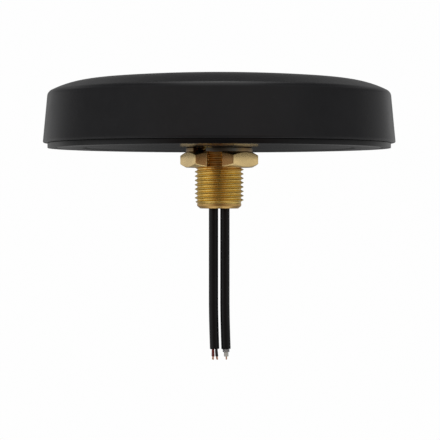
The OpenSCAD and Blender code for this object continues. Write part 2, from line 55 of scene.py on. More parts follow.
# ---------------------------------------------------------------- mesh helpers
class Shell:
    """Points, faces and material numbers of one piece, in millimetres."""

    def __init__(self):
        self.points, self.faces, self.slots = [], [], []

    def add(self, points, faces, mat=0):
        base = len(self.points)
        self.points.extend([tuple(map(float, p)) for p in points])
        self.faces.extend([tuple(base + i for i in face) for face in faces])
        self.slots.extend([mat] * len(faces))
        return self

    def add_at(self, other, x, y):
        """Adds a copy of another shell, moved sideways."""
        return self.add(np.array(other.points) + np.array([x, y, 0]), other.faces)

    def add_polar(self, other, radius, degrees):
        angle = math.radians(degrees)
        return self.add_at(other, radius * math.cos(angle), radius * math.sin(angle))

    def loft(self, rings, around=False, caps=True, mat=0):
        """Quads between neighbouring closed rings. around joins the last ring to the first."""
        n, count = len(rings[0]), len(rings)
        faces = []
        for j in range(count if around else count - 1):
            low, high = j * n, ((j + 1) % count) * n
            for i in range(n):
                nxt = (i + 1) % n
                faces.append((low + i, low + nxt, high + nxt, high + i))
        if caps and not around:
            faces.append(tuple(range(n - 1, -1, -1)))
            faces.append(tuple((count - 1) * n + i for i in range(n)))
        return self.add([p for ring in rings for p in ring], faces, mat)

    def lathe(self, profile, n, around=False):
        """Turns (r, z) points about Z. around closes them into a ring; otherwise both ends
        lie on the axis and become poles."""
        angle = np.arange(n) * TAU / n
        cos, sin = np.cos(angle), np.sin(angle)
        off_axis = [p for p in profile if around or p[0] > 1e-6]
        rings = [np.stack([r * cos, r * sin, np.full(n, z)], 1) for r, z in off_axis]
        self.loft(rings, around=around, caps=False)
        if around:
            return self
        base = len(self.points) - n * len(rings)
        for (_, z), ring in ((profile[0], 0), (profile[-1], len(rings) - 1)):
            pole = len(self.points)
            self.points.append((0.0, 0.0, float(z)))
            for i in range(n):
                a, b = base + ring * n + i, base + ring * n + (i + 1) % n
                self.faces.append((pole, a, b) if ring else (pole, b, a))
                self.slots.append(0)
        return self

    def tube(self, stations, n, mat=0):
        """Joins circles at (centre, tangent, radius) stations and closes both ends."""
        rings = []
        up = None
        angle = np.arange(n) * TAU / n
        for centre, tangent, radius in stations:
            ahead = np.array(tangent, float)
            ahead /= np.linalg.norm(ahead)
            if up is None:
                up = np.array([0, 1.0, 0]) if abs(ahead[1]) < 0.9 else np.array([1.0, 0, 0])
            up = up - ahead * (up @ ahead)
            up /= np.linalg.norm(up)
            side = np.cross(ahead, up)
            circle = np.outer(np.cos(angle), up) + np.outer(np.sin(angle), side)
            rings.append(np.array(centre, float) + radius * circle)
        return self.loft(rings, mat=mat)


def path_stations(points, radius, blunt=0.0):
    """Tube stations along a line of centres. blunt is the size of the chamfer at each end."""
    p = np.array(points, float)
    t = np.gradient(p, axis=0)
    stations = [(centre, ahead, radius) for centre, ahead in zip(p, t)]
    if blunt:
        stations[0] = (p[0] + t[0] / np.linalg.norm(t[0]) * blunt, t[0], radius)
        stations[-1] = (p[-1] - t[-1] / np.linalg.norm(t[-1]) * blunt, t[-1], radius)
        head, tail = (p[0], t[0], radius - blunt), (p[-1], t[-1], radius - blunt)
        stations = [head] + stations + [tail]
    return stations


def arc(centre, radius, start, end, count):
    """Points on an arc of the profile plane, angles in degrees."""
    angles = np.radians(np.linspace(start, end, count))
    return [(centre[0] + radius * math.cos(a), centre[1] + radius * math.sin(a)) for a in angles]


def fillet(points, closed=True):
    """Turns the corners of (r, z, radius) points into arcs tangent to both sides."""
    out, n = [], len(points)
    for i, (x, z, radius) in enumerate(points):
        if radius <= 0 or (not closed and i in (0, n - 1)):
            out.append((x, z))
            continue
        corner = np.array([x, z], float)
        back = np.array(points[(i - 1) % n][:2], float) - corner
        ahead = np.array(points[(i + 1) % n][:2], float) - corner
        back_len, ahead_len = np.linalg.norm(back), np.linalg.norm(ahead)
        back, ahead = back / back_len, ahead / ahead_len
        half = math.acos(max(-1, min(1, float(back @ ahead)))) / 2
        if half > math.radians(88.5):  # nearly straight
            out.append((x, z))
            continue
        cut = min(radius / math.tan(half), 0.48 * back_len, 0.48 * ahead_len)
        fitted = cut * math.tan(half)
        middle = (back + ahead) / np.linalg.norm(back + ahead)
        centre = corner + middle * (fitted / math.sin(half))
        first, last = corner + back * cut - centre, corner + ahead * cut - centre
        start, end = math.atan2(first[1], first[0]), math.atan2(last[1], last[0])
        sweep = (end - start + math.pi) % TAU - math.pi
        steps = max(2, int(abs(math.degrees(sweep)) / 13) + 1)
        for j in range(steps + 1):
            a = start + sweep * j / steps
            out.append((float(centre[0] + fitted * math.cos(a)),
                        float(centre[1] + fitted * math.sin(a))))
    return out


def piece(name, shell, finishes=(), body=None, replaces=(), sharp=34, merge=4e-7):
    """Makes the object. finishes are keys of MAT, sharp is in degrees and merge in metres."""
    mesh = bpy.data.meshes.new(name)
    mesh.from_pydata([(x * MM, y * MM, z * MM) for x, y, z in shell.points], [], shell.faces)
    mesh.polygons.foreach_set("material_index", shell.slots)
    bm = bmesh.new()
    bm.from_mesh(mesh)
    bmesh.ops.remove_doubles(bm, verts=bm.verts, dist=merge)
    bmesh.ops.dissolve_degenerate(bm, edges=bm.edges, dist=merge)
    bmesh.ops.recalc_face_normals(bm, faces=bm.faces)
    for face in bm.faces:
        face.smooth = True
    bm.to_mesh(mesh)
    bm.free()
    for key in finishes:
        mesh.materials.append(MAT[key])
    obj = bpy.data.objects.new(name, mesh)
    bpy.context.scene.collection.objects.link(obj)
    mesh.set_sharp_from_angle(angle=math.radians(sharp))
    if body is not None:
        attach(obj, body)
    if replaces:
        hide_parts(*replaces)
    return obj


def carve(obj, shell, how="DIFFERENCE", sharp=34):
    """Cuts or adds a shell to a piece with an exact boolean and keeps the result as its mesh."""
    tool = piece("tool_" + obj.name, shell)
    mod = obj.modifiers.new("cut", "BOOLEAN")
    mod.operation, mod.object, mod.solver = how, tool, "EXACT"
    bpy.context.view_layer.update()
    depsgraph = bpy.context.evaluated_depsgraph_get()
    made = bpy.data.meshes.new_from_object(obj.evaluated_get(depsgraph), depsgraph=depsgraph)
    obj.modifiers.clear()
    old = obj.data
    obj.data = made
    made.name = old.name + "_cut"
    made.set_sharp_from_angle(angle=math.radians(sharp))
    bpy.data.objects.remove(tool)
    bpy.data.meshes.remove(old)


# ---------------------------------------------------------------- shader helpers
class Graph:
    """Makes and links the nodes of one shader tree."""

    def __init__(self, tree):
        self.tree = tree

    def feed(self, socket, value):
        """Links another node's output to the socket, or sets the socket's value."""
        if isinstance(value, bpy.types.NodeSocket):
            self.tree.links.new(value, socket)
        else:
            socket.default_value = value

    def node(self, kind, inputs=(), **settings):
        made = self.tree.nodes.new("ShaderNode" + kind)
        for key, value in settings.items():
            setattr(made, key, value)
        for key, value in dict(inputs).items():
            self.feed(made.inputs[key], value)
        return made

    def calc(self, operation, *values):
        return self.node("Math", enumerate(values), operation=operation).outputs[0]

    def add(self, first, second):
        return self.calc("ADD", first, second)

    def mul(self, first, second):
        return self.calc("MULTIPLY", first, second)

    def noise(self, scale, detail=3, stretch=None, rough=0.55, distort=0.0):
        """Noise over the object, scale per millimetre."""
        place = self.mm
        if stretch:
            place = self.node("Mapping", {"Scale": stretch, "Vector": place}).outputs[0]
        return self.node("TexNoise", {
            "Scale": scale, "Detail": detail, "Roughness": rough, "Distortion": distort,
            "Vector": place}).outputs["Fac"]

    def remap(self, value, to=(0, 1), span=(0.3, 0.7)):
        return self.node("MapRange", {
            "From Min": span[0], "From Max": span[1], "To Min": to[0], "To Max": to[1],
            "Value": value}, clamp=True).outputs[0]

    def mix(self, amount, first, second):
        """Blends two colours, each an (r, g, b) tuple or a socket."""
        first, second = ((*c, 1) if isinstance(c, tuple) else c for c in (first, second))
        return self.node("Mix", {0: amount, 6: first, 7: second}, data_type="RGBA").outputs[2]

    def bump(self, height, distance_mm, strength=1.0):
        return self.node("Bump", {
            "Distance": distance_mm * MM, "Strength": strength, "Height": height}).outputs[0]


def fresh_graph(owner):
    owner.use_nodes = True
    owner.node_tree.nodes.clear()
    return Graph(owner.node_tree)


def new_material(name):
    """A material, its graph with object coordinates in millimetres as .mm, and its inputs."""
    material = bpy.data.materials.new(name)
    g = fresh_graph(material)
    out = g.node("OutputMaterial")
    shader = g.node("BsdfPrincipled")
    g.feed(out.inputs[0], shader.outputs[0])
    coord = g.node("TexCoord")
    scale = {"Scale": (1000, 1000, 1000), "Vector": coord.outputs["Object"]}
    g.mm = g.node("Mapping", scale).outputs[0]
    return material, g, shader.inputs


def scaled(color, factor):
    return tuple(min(1.0, x * factor) for x in color)


# ---------------------------------------------------------------- materials
def plastic(name, color, rough=(0.38, 0.5), level=0.4, grain=1.6, grain_mm=0.012, vary=0.14,
            dust=0.0, scuff=0.05):
    """Clouded plastic with fine scuffs and grain. dust settles on surfaces that face up."""
    material, g, inputs = new_material(name)
    big = g.noise(scale=0.035, detail=4)
    mid = g.noise(scale=0.35, detail=5)
    tone = g.mix(g.remap(big), scaled(color, 1 - vary), scaled(color, 1 + vary))
    patches = g.remap(mid, to=(0, 0.35), span=(0.45, 0.75))
    tone = g.mix(patches, tone, scaled(color, 1 + 1.6 * vary))
    lines = g.noise(scale=1.1, detail=2, stretch=(0.12, 1.0, 0.9), distort=0.4)
    marks = g.remap(lines, span=(0.67, 0.74))
    tone = g.mix(g.mul(marks, scuff * 2), tone, scaled(color, 2.4))
    if dust:
        normal = g.node("NewGeometry").outputs["Normal"]
        height = g.node("SeparateXYZ", {0: normal}).outputs[2]
        upward = g.remap(height, span=(0.55, 1.0))
        specks = g.remap(g.noise(scale=0.9, detail=6), to=(0.1, 1), span=(0.4, 0.72))
        tone = g.mix(g.mul(g.mul(upward, specks), dust), tone, (0.30, 0.29, 0.27))
    g.feed(inputs["Base Color"], tone)
    sheen = g.remap(g.noise(scale=0.22, detail=5), to=rough)
    g.feed(inputs["Roughness"], g.add(sheen, g.mul(marks, -scuff)))
    g.feed(inputs["Specular IOR Level"], level)
    g.feed(inputs["Normal"], g.bump(g.noise(scale=grain), distance_mm=grain_mm))
    return material


def metal(name, color, rough=(0.2, 0.34), stretch=(1, 1, 9), grain=2.2, grain_mm=0.006,
          tarnish=0.25, tarnish_to=None):
    """Metal with drawn-out grain lines, cloudy tarnish and small dark spots."""
    material, g, inputs = new_material(name)
    dull = tarnish_to or scaled(color, 0.62)
    cloud = g.remap(g.noise(scale=0.28, detail=6, rough=0.62), span=(0.42, 0.72))
    spots = g.remap(g.noise(scale=2.4), span=(0.62, 0.72))
    tone = g.mix(g.remap(g.noise(scale=0.11)), scaled(color, 0.94), scaled(color, 1.04))
    tone = g.mix(g.mul(cloud, tarnish), tone, dull)
    tone = g.mix(g.mul(spots, tarnish * 0.8), tone, scaled(dull, 0.7))
    g.feed(inputs["Base Color"], tone)
    g.feed(inputs["Metallic"], 1.0)
    lines = g.noise(scale=grain, detail=4, stretch=stretch)
    g.feed(inputs["Roughness"], g.add(g.remap(lines, to=rough), g.mul(cloud, 0.08)))
    g.feed(inputs["Normal"], g.bump(lines, distance_mm=grain_mm))
    return material


def circuit_board(name):
    """Solder mask over copper tracks, with round vias."""
    material, g, inputs = new_material(name)
    brick = g.node("TexBrick", {
        "Scale": 0.21, "Mortar Size": 0.012, "Color1": (0, 0, 0, 1), "Color2": (0, 0, 0, 1),
        "Mortar": (1, 1, 1, 1)})
    snapped = g.node("VectorMath", {0: g.mm, 1: (0.2, 0.2, 0.2)}, operation="SNAP")
    g.feed(brick.inputs["Vector"], snapped.outputs[0])
    tracks = brick.outputs["Color"]
    dots = g.node("TexVoronoi", {"Scale": 0.32, "Vector": g.mm})
    via = g.remap(dots.outputs["Distance"], to=(1, 0), span=(0.10, 0.13))
    ground = g.remap(g.noise(scale=0.08, detail=4))
    tone = g.mix(ground, (0.010, 0.085, 0.045), (0.016, 0.12, 0.065))
    tone = g.mix(tracks, tone, (0.04, 0.22, 0.11))
    tone = g.mix(via, tone, (0.66, 0.56, 0.34))
    g.feed(inputs["Base Color"], tone)
    g.feed(inputs["Metallic"], via)
    g.feed(inputs["Roughness"], g.remap(g.noise(scale=0.6, detail=4), to=(0.22, 0.4)))
    g.feed(inputs["Normal"], g.bump(tracks, distance_mm=0.03, strength=0.6))
    return material


def core_plastic(name, color, vary=0.15):
    return plastic(name, color, rough=(0.34, 0.46), level=0.5, grain=2.0, grain_mm=0.008, vary=vary)


MAT = {
    "cover": plastic("cover_plastic", color=(0.0158, 0.0160, 0.0178), rough=(0.20, 0.27),
                     level=0.25, grain=2.2, grain_mm=0.010, dust=0.05),
    "base": plastic("base_plastic", color=(0.0075, 0.0078, 0.0088), rough=(0.19, 0.25),
                    level=0.2, grain=1.2, grain_mm=0.006),
    "stem": metal("stem_brass", color=(0.93, 0.66, 0.20), rough=(0.18, 0.28),
                  stretch=(0.6, 0.6, 7), grain=1.6, grain_mm=0.004),
    # darker, more tarnished brass: painted shade on the thread behind the nut and washer; also used
    # round the lower end
    "stem_shade_and_dark_end": metal("stem_brass_shade_and_dark_end", color=(0.70, 0.44, 0.15), rough=(0.24, 0.34),
                       stretch=(0.6, 0.6, 7), grain=1.6, grain_mm=0.004, tarnish=0.35,
                       tarnish_to=(0.40, 0.23, 0.10)),
    "nut": metal("nut_brass", color=(0.95, 0.70, 0.325), rough=(0.20, 0.30),
                 stretch=(1.2, 1.2, 6), grain=1.4, grain_mm=0.005, tarnish=0.2),
    "insert": metal("brass_insert", color=(0.84, 0.62, 0.30), rough=(0.25, 0.4),
                    stretch=(1, 1, 4)),
    # dark washer colour: partly painted shade of the narrow gap under the base, partly tarnish
    "washer": metal("washer_brass", color=(0.33, 0.225, 0.11), rough=(0.28, 0.42),
                    stretch=(1, 1, 1), grain=1.8, tarnish=0.5, tarnish_to=(0.20, 0.13, 0.07)),
    "screw": metal("screw_steel", color=(0.56, 0.56, 0.57), rough=(0.22, 0.36),
                   stretch=(1, 1, 5), tarnish=0.2),
    "tin": metal("tinplate", color=(0.66, 0.67, 0.68), rough=(0.18, 0.34),
                 stretch=(0.5, 6, 1), grain=0.8),
    "silver": metal("patch_silver", color=(0.80, 0.79, 0.75), rough=(0.34, 0.5),
                    stretch=(1, 1, 1), grain=3.0, grain_mm=0.01, tarnish=0.3,
                    tarnish_to=(0.55, 0.50, 0.40)),
    "copper": metal("copper_sheet", color=(0.80, 0.47, 0.30), rough=(0.24, 0.4),
                    stretch=(0.4, 4, 1), grain=1.0, tarnish=0.4, tarnish_to=(0.42, 0.20, 0.11)),
    "wire": metal("copper_wire", color=(0.82, 0.48, 0.31), stretch=(4, 4, 0.5), grain=1.6,
                  tarnish=0.3, tarnish_to=(0.45, 0.22, 0.12)),
    "braid": metal("braid_tin", color=(0.60, 0.60, 0.61), rough=(0.26, 0.4),
                   stretch=(3, 3, 3), grain=1.6, tarnish=0.35),
    "rubber": plastic("seal_rubber", color=(0.012, 0.012, 0.0125), rough=(0.62, 0.78),
                      level=0.3, grain=3.0, grain_mm=0.02, vary=0.2),
    "gasket": plastic("gasket_rubber", color=(0.0085, 0.0088, 0.0096), rough=(0.17, 0.24),
                      grain=3.0, grain_mm=0.004, vary=0.2),
    "foam": plastic("foam", color=(0.055, 0.055, 0.06), rough=(0.8, 0.95), level=0.2,
                    grain=1.5, grain_mm=0.18, vary=0.3),
    "ceramic": plastic("patch_ceramic", color=(0.70, 0.65, 0.54), rough=(0.5, 0.66),
                       level=0.45, grain=3.5, grain_mm=0.01, vary=0.06, scuff=0.02),
    "chip": plastic("chip_black", color=(0.018, 0.018, 0.02), rough=(0.45, 0.62),
                    grain=4.0, vary=0.12),
    "carrier": plastic("carrier_plastic", color=(0.024, 0.024, 0.026), rough=(0.42, 0.56),
                       level=0.45, grain_mm=0.015, vary=0.12),
    "module": plastic("module_blue", color=(0.012, 0.035, 0.16), rough=(0.25, 0.4),
                      level=0.5, grain=0.8, grain_mm=0.02, vary=0.2),
    "nylon": plastic("plug_nylon", color=(0.72, 0.68, 0.56), rough=(0.4, 0.55), level=0.5,
                     grain=1.0, grain_mm=0.02, vary=0.08),
    "poly": plastic("dielectric", color=(0.78, 0.78, 0.73), rough=(0.3, 0.45), level=0.5,
                    grain=2.0, grain_mm=0.01, vary=0.05),
    "jacket": plastic("lead_jacket", color=(0.0055, 0.0055, 0.006), rough=(0.36, 0.48),
                      level=0.25, grain=1.8, vary=0.15, scuff=0.03),
    "red": core_plastic("core_red", color=(0.22, 0.022, 0.018)),
    "black": core_plastic("core_black", color=(0.014, 0.014, 0.015)),
    "white": core_plastic("core_white", color=(0.50, 0.49, 0.45), vary=0.1),
    "green": core_plastic("core_green", color=(0.02, 0.12, 0.035)),
    "board": circuit_board("board"),
}


def paint_front_shade(material, color, left, right, strength):
    """Paints shade into a band of the front side by darkening its colour. left and right are the X
    spans of its soft ends.
    """
    g = Graph(material.node_tree)
    shader = next(n for n in g.tree.nodes if n.type == "BSDF_PRINCIPLED")
    base = shader.inputs["Base Color"]
    under = base.links[0].from_socket
    coord = g.node("TexCoord")
    x, y, _ = g.node("SeparateXYZ", {0: coord.outputs["Object"]}).outputs
    band = g.mul(g.remap(x, span=(left[0] * MM, left[1] * MM)),
                 g.remap(x, to=(1, 0), span=(right[0] * MM, right[1] * MM)))
    band = g.mul(band, g.remap(y, to=(strength, 0), span=(-3 * MM, 0.0)))
    g.feed(base, g.mix(band, under, color))


# painted shade: darkens the washer's front side, which lies in shadow between the nut and the base
paint_front_shade(MAT["washer"], color=(0.13, 0.135, 0.12), left=(-8.6, -5.8), right=(5.0, 7.4), strength=0.92)

# ---------------------------------------------------------------- cover
RIM_R, RIM_Z = 57.1, 1.4  # outside of the lower rim
WALL = 2.2
SHOULDER_Z = 16.54        # where the side wall runs into the edge round
LEAN_IN = 1.44            # how far the side wall leans in between rim and shoulder
SLOPE = LEAN_IN / (SHOULDER_Z - RIM_Z)
LEAN = math.degrees(math.atan(SLOPE))
EDGE_R, HAUNCH_R = 2.1, 32.64  # edge round, and the broad curve between it and the crown
EDGE_END, HAUNCH_END = 90 - 26.49, 90 - 5.31  # where each ends, degrees above the horizontal
WALL_LOW_Z, WALL_HIGH_Z = 2.4, 15.6  # span of the straight wall's rows
SCREW_CIRCLE_R = 48
SCREW_ANGLES = [30 + 60 * k for k in range(6)]


def ray(degrees):
    return np.array([math.cos(math.radians(degrees)), math.sin(math.radians(degrees))])


EDGE_CENTRE = np.array([RIM_R - LEAN_IN, SHOULDER_Z]) - EDGE_R * ray(LEAN)
HAUNCH_CENTRE = EDGE_CENTRE + EDGE_R * ray(EDGE_END) - HAUNCH_R * ray(EDGE_END)
CROWN_EDGE = HAUNCH_CENTRE + HAUNCH_R * ray(HAUNCH_END)
CROWN_R = CROWN_EDGE[0] / math.cos(math.radians(HAUNCH_END))
CROWN_CENTRE = np.array([0, CROWN_EDGE[1] - CROWN_R * math.sin(math.radians(HAUNCH_END))])


def inner_r(z):
    return RIM_R - WALL - (z - RIM_Z) * SLOPE


def wall_r(z):
    return RIM_R - (z - RIM_Z) * SLOPE


def inner_corner(haunch_r):
    """Walks up the inside of the wall to where it meets the inside of the haunch."""
    for step in range(4000):
        z = 10 + step * 0.003
        rise = math.sqrt(max(haunch_r ** 2 - (inner_r(z) - HAUNCH_CENTRE[0]) ** 2, 0))
        if HAUNCH_CENTRE[1] + rise <= z:
            return inner_r(z), z


def cover_profile():
    """From the top of the crown down the outside, round the rim and up the inside."""
    outer = [(0.0, CROWN_CENTRE[1] + CROWN_R)]
    outer += arc(CROWN_CENTRE, CROWN_R, 90, HAUNCH_END, 30)[1:-1]
    outer += arc(HAUNCH_CENTRE, HAUNCH_R, HAUNCH_END, EDGE_END, 22)[:-1]
    outer += arc(EDGE_CENTRE, EDGE_R, EDGE_END, LEAN, 20)
    outer += [(wall_r(z), z) for z in np.linspace(WALL_HIGH_Z, WALL_LOW_Z, 9)]
    rim = fillet([(wall_r(WALL_LOW_Z), WALL_LOW_Z, 0), (wall_r(RIM_Z), RIM_Z, 0.45),
                  (inner_r(RIM_Z), RIM_Z, 0.18), (inner_r(WALL_LOW_Z), WALL_LOW_Z, 0)],
                 closed=False)[1:-1]
    haunch_r, crown_r = HAUNCH_R - WALL, CROWN_R - WALL
    inside = fillet([(inner_r(WALL_LOW_Z), WALL_LOW_Z, 0), (*inner_corner(haunch_r), 1.1),
                     (*(HAUNCH_CENTRE + haunch_r * ray(62)), 0)], closed=False)[:-1]
    start = inside[-1] - HAUNCH_CENTRE
    start_angle = math.degrees(math.atan2(start[1], start[0]))
    inside += arc(HAUNCH_CENTRE, haunch_r, start_angle + 1.0, HAUNCH_END, 18)
    inside += arc(CROWN_CENTRE, crown_r, HAUNCH_END, 90, 16)[1:-1]
    inside += [(0.0, CROWN_CENTRE[1] + CROWN_R - WALL)]
    return [(float(r), float(z)) for r, z in outer + rim + inside]


cover = piece("cover_shell", Shell().lathe(cover_profile(), n=256), ["cover"], "housing",
              ["radome"])

# screw bosses: joined to the underside of the dome, each with a stepped hole for its insert
BOSS_R, BOSS_LOW_Z, BOSS_TOP_Z = 3.2, 3.05, 19.2
boss = Shell().lathe([(0, BOSS_LOW_Z)] + fillet([
    (2.9, BOSS_LOW_Z, 0), (BOSS_R, 3.3, 0.2), (BOSS_R, 17.2, 0), (BOSS_R, BOSS_TOP_Z, 0)],
    closed=False) + [(0, BOSS_TOP_Z)], n=48)
boss_hole = Shell().lathe([  # (r, z)
    (0, 1.9), (2.66, 1.9), (2.66, BOSS_LOW_Z), (2.36, 3.4), (2.36, 9.2), (1.6, 9.5),
    (1.6, 12.4), (0, 12.7)], n=48)
bosses, holes = Shell(), Shell()
for angle in SCREW_ANGLES:
    bosses.add_polar(boss, SCREW_CIRCLE_R, angle)
    holes.add_polar(boss_hole, SCREW_CIRCLE_R, angle)
carve(cover, bosses, "UNION")
carve(cover, holes)

# ---------------------------------------------------------------- base plate
FLOOR_Z, RING_TOP_Z = 3.0, 6.5
RING_OUT = inner_r(RING_TOP_Z) - 0.35  # upright ring inside the cover
RING_IN = RING_OUT - 2.4
NECK_R = RING_OUT - 1.2                # bottom of the groove round the upright ring
LEDGE_R = inner_r(FLOOR_Z) - 0.25
GROOVE_IN, GROOVE_OUT, GROOVE_Z = 43.0, 53.0, 0.85  # gasket groove in the underside
HUB_TOP_Z = 4.5
POST_CIRCLE_R, POST_TOP_Z = 38, 11.58
FLANGE_CIRCLE_R = 12.4                 # screws through the stem's flange
QUARTER_ANGLES = [45 + 90 * k for k in range(4)]
SADDLE_X, SADDLE_Y = 20.5, 5.4

base_profile = fillet([  # (r, z, corner radius)
    (7.7, 0, 0.12), (GROOVE_IN, 0, 0.1), (GROOVE_IN, GROOVE_Z, 0.05),
    (GROOVE_OUT, GROOVE_Z, 0.05), (GROOVE_OUT, -0.25, 0.06), (55.6, -0.25, 0.1),
    (55.6, 1.35, 0.1), (LEDGE_R, 1.35, 0.05), (LEDGE_R, FLOOR_Z, 0.1),
    (RING_OUT, FLOOR_Z, 0.05), (RING_OUT, 3.75, 0.05), (NECK_R, 3.75, 0.1),
    (NECK_R, 5.65, 0.1), (RING_OUT, 5.65, 0.05), (RING_OUT, RING_TOP_Z, 0.2),
    (RING_IN, RING_TOP_Z, 0.2), (RING_IN, FLOOR_Z, 0.3), (17, FLOOR_Z, 0.3),
    (17, HUB_TOP_Z, 0.15), (10.75, HUB_TOP_Z, 0.05), (10.75, 3.2, 0.05), (8.95, 3.2, 0.05),
    (8.95, HUB_TOP_Z, 0.05), (7.7, HUB_TOP_Z, 0.1)])
base = piece("base_shell", Shell().lathe(base_profile, n=256, around=True), ["base"], "housing",
             ["base_plate"])

post = Shell().lathe([(0, 2.2)] + fillet([
    (3.6, 2.2, 0), (3.55, 3.0, 0), (3.0, 3.6, 0.4), (3.0, POST_TOP_Z, 0.15),
    (0, POST_TOP_Z, 0)], closed=False), n=48)
post_hole = Shell().lathe([(0, 5.5), (1.05, 5.6), (1.05, 11.3), (1.35, 11.7), (0, 11.8)], n=32)
flange_hole = Shell().lathe([(0, 1.2), (1.3, 1.35), (1.3, 4.35), (1.6, 4.7), (0, 4.8)], n=32)
saddle_hole = Shell().lathe([(0, 1.2), (1.25, 1.35), (1.25, 2.85), (1.5, 3.2), (0, 3.3)], n=32)
screw_hole = Shell().lathe([
    (0, -0.6), (2.95, -0.6), (2.95, 1.0), (1.62, 2.33), (1.62, 5), (0, 5)], n=48)
posts, holes = Shell(), Shell()
for angle in QUARTER_ANGLES:
    posts.add_polar(post, POST_CIRCLE_R, angle)
    holes.add_polar(post_hole, POST_CIRCLE_R, angle)
    holes.add_polar(flange_hole, FLANGE_CIRCLE_R, angle)
for side_x in (-1, 1):
    for side_y in (-1, 1):
        holes.add_at(saddle_hole, side_x * SADDLE_X, side_y * SADDLE_Y)
for angle in SCREW_ANGLES:
    holes.add_polar(screw_hole, SCREW_CIRCLE_R, angle)
carve(base, posts, "UNION")
carve(base, holes)

GASKET_IN, GASKET_OUT, GASKET_TOP_Z = GROOVE_IN + 0.1, GROOVE_OUT - 0.1, 0.82
gasket_profile = fillet([  # (r, z, corner radius)
    (GASKET_IN, 0, 0.04), (44.3, -0.3, 0.5), (51.7, -0.3, 0.5), (GASKET_OUT, 0, 0.04),
    (GASKET_OUT, GASKET_TOP_Z, 0.1), (GASKET_IN, GASKET_TOP_Z, 0.1)])
piece("panel_gasket", Shell().lathe(gasket_profile, n=256, around=True), ["gasket"], "housing",
      ["mounting_gasket"])

# ---------------------------------------------------------------- stem, right-hand 5/8-18 thread
PITCH, STEM_R, ROOT_R = 1.4111, 7.9375, 7.12
CREST_Z = -12.81                        # height of a crest at angle 0
THREAD_LOW_Z, THREAD_TOP_Z = -18.1, -0.12
RELIEF_R = 7.6                          # plain neck above the thread
STEM_COUNT = 192                        # points round the stem
# (offset in pitches from the crest, height as a fraction of the thread's depth)
THREAD_ROWS = [
    (-0.5, 0.0), (-0.41, 0.0), (-0.355, 0.05), (-0.22, 0.48), (-0.095, 0.93), (-0.055, 0.985),
    (0.0, 1.0), (0.055, 0.985), (0.095, 0.93), (0.22, 0.48), (0.355, 0.05), (0.41, 0.0)]
ROW_OFFSETS = np.array([row[0] for row in THREAD_ROWS] + [0.5])
ROW_HEIGHTS = np.array([row[1] for row in THREAD_ROWS] + [0.0])


def thread_r(z, theta):
    """Radius of the endless thread at a height and an angle, anticlockwise from +X."""
    phase = ((z - CREST_Z) / PITCH - theta / TAU + 0.5) % 1.0 - 0.5
    return ROOT_R + (STEM_R - ROOT_R) * np.interp(phase, ROW_OFFSETS, ROW_HEIGHTS)


def stem_r(z, theta):
    """The thread cut in a blank with a lead-in chamfer below and a relief at the top."""
    low = ROOT_R + np.clip((z - THREAD_LOW_Z) / 0.62, 0, 1) * (STEM_R - ROOT_R)
    high = RELIEF_R + np.clip((THREAD_TOP_Z - z) / 0.3, 0, 1) * (STEM_R - RELIEF_R)
    return np.minimum(thread_r(z, theta), np.minimum(low, high))


def add_thread(shell):
    """Columns of points whose rows climb one pitch per turn. The last column joins the first
    one pitch further up."""
    first = math.floor((THREAD_LOW_Z - CREST_Z) / PITCH) - 2
    last = math.ceil((THREAD_TOP_Z - CREST_Z) / PITCH) + 1
    heights = np.array([CREST_Z + PITCH * (turn + offset)
                        for turn in range(first, last + 1) for offset, _ in THREAD_ROWS])
    columns = []
    for i in range(STEM_COUNT):
        theta = TAU * i / STEM_COUNT
        z = np.clip(heights + PITCH * i / STEM_COUNT, THREAD_LOW_Z, THREAD_TOP_Z)
        r = stem_r(z, theta)
        columns.append(np.stack([r * math.cos(theta), r * math.sin(theta), z], 1))
    points = np.array(columns).reshape(-1, 3)
    rows = len(heights)
    faces = []
    for i in range(STEM_COUNT):
        for k in range(rows - 1):
            here, beside = i * rows + k, (i + 1) * rows + k
            if i == STEM_COUNT - 1:
                beside = k + len(THREAD_ROWS)
                if beside + 1 >= rows:
                    continue
            face = (here, beside, beside + 1, here + 1)
            z = [points[j, 2] for j in face]
            if max(z) - min(z) > 1e-9:  # skips rows pressed flat against an end
                faces.append(face)
    shell.add(points, faces)


def stem_ring(z, r=None):
    """A level ring round the stem, following the thread where no radius is given."""
    angle = np.arange(STEM_COUNT) * TAU / STEM_COUNT
    r = stem_r(z, angle) if r is None else r
    return np.stack([r * np.cos(angle), r * np.sin(angle), np.full(STEM_COUNT, z)], 1)


# from under the thread, round the lower end, up the bore and round the flange: (r, z, radius)
FLANGE_R, FLANGE_LOW_Z, FLANGE_TOP_Z = 15.5, 4.55, 7.05
STEM_BORE_R, STEM_LOW_Z = 5.0, -19.8
stem_outline = fillet([
    (ROOT_R, -18.16, 0), (7.2, -18.34, 0.12), (7.2, -18.95, 0.6), (6.2, STEM_LOW_Z, 0.5),
    (STEM_BORE_R, STEM_LOW_Z, 0.22), (STEM_BORE_R, 2.49, 0.4), (8.0, FLANGE_TOP_Z, 0.3),
    (FLANGE_R, FLANGE_TOP_Z, 0.3), (FLANGE_R, FLANGE_LOW_Z, 0.1), (RELIEF_R, FLANGE_LOW_Z, 0.1),
    (RELIEF_R, -0.04, 0)], closed=False)
stem = Shell()
add_thread(stem)
stem.loft([stem_ring(THREAD_LOW_Z)] + [stem_ring(z, r) for r, z in stem_outline]
          + [stem_ring(THREAD_TOP_Z)], caps=False)
for i, face in enumerate(stem.faces):
    heights = [stem.points[j][2] for j in face]
    mid_z = sum(heights) / len(heights)
    # darker brass: painted shade on the thread behind the nut and washer, and darker round the
    # lower end
    if math.hypot(*stem.points[face[0]][:2]) > 5.7 and (-6.9 < mid_z < -0.1 or mid_z < -18.3):
        stem.slots[i] = 1
stem_obj = piece("stem", stem, ["stem", "stem_shade_and_dark_end"], "housing", ["threaded_stem"],
                 sharp=60, merge=1e-6)
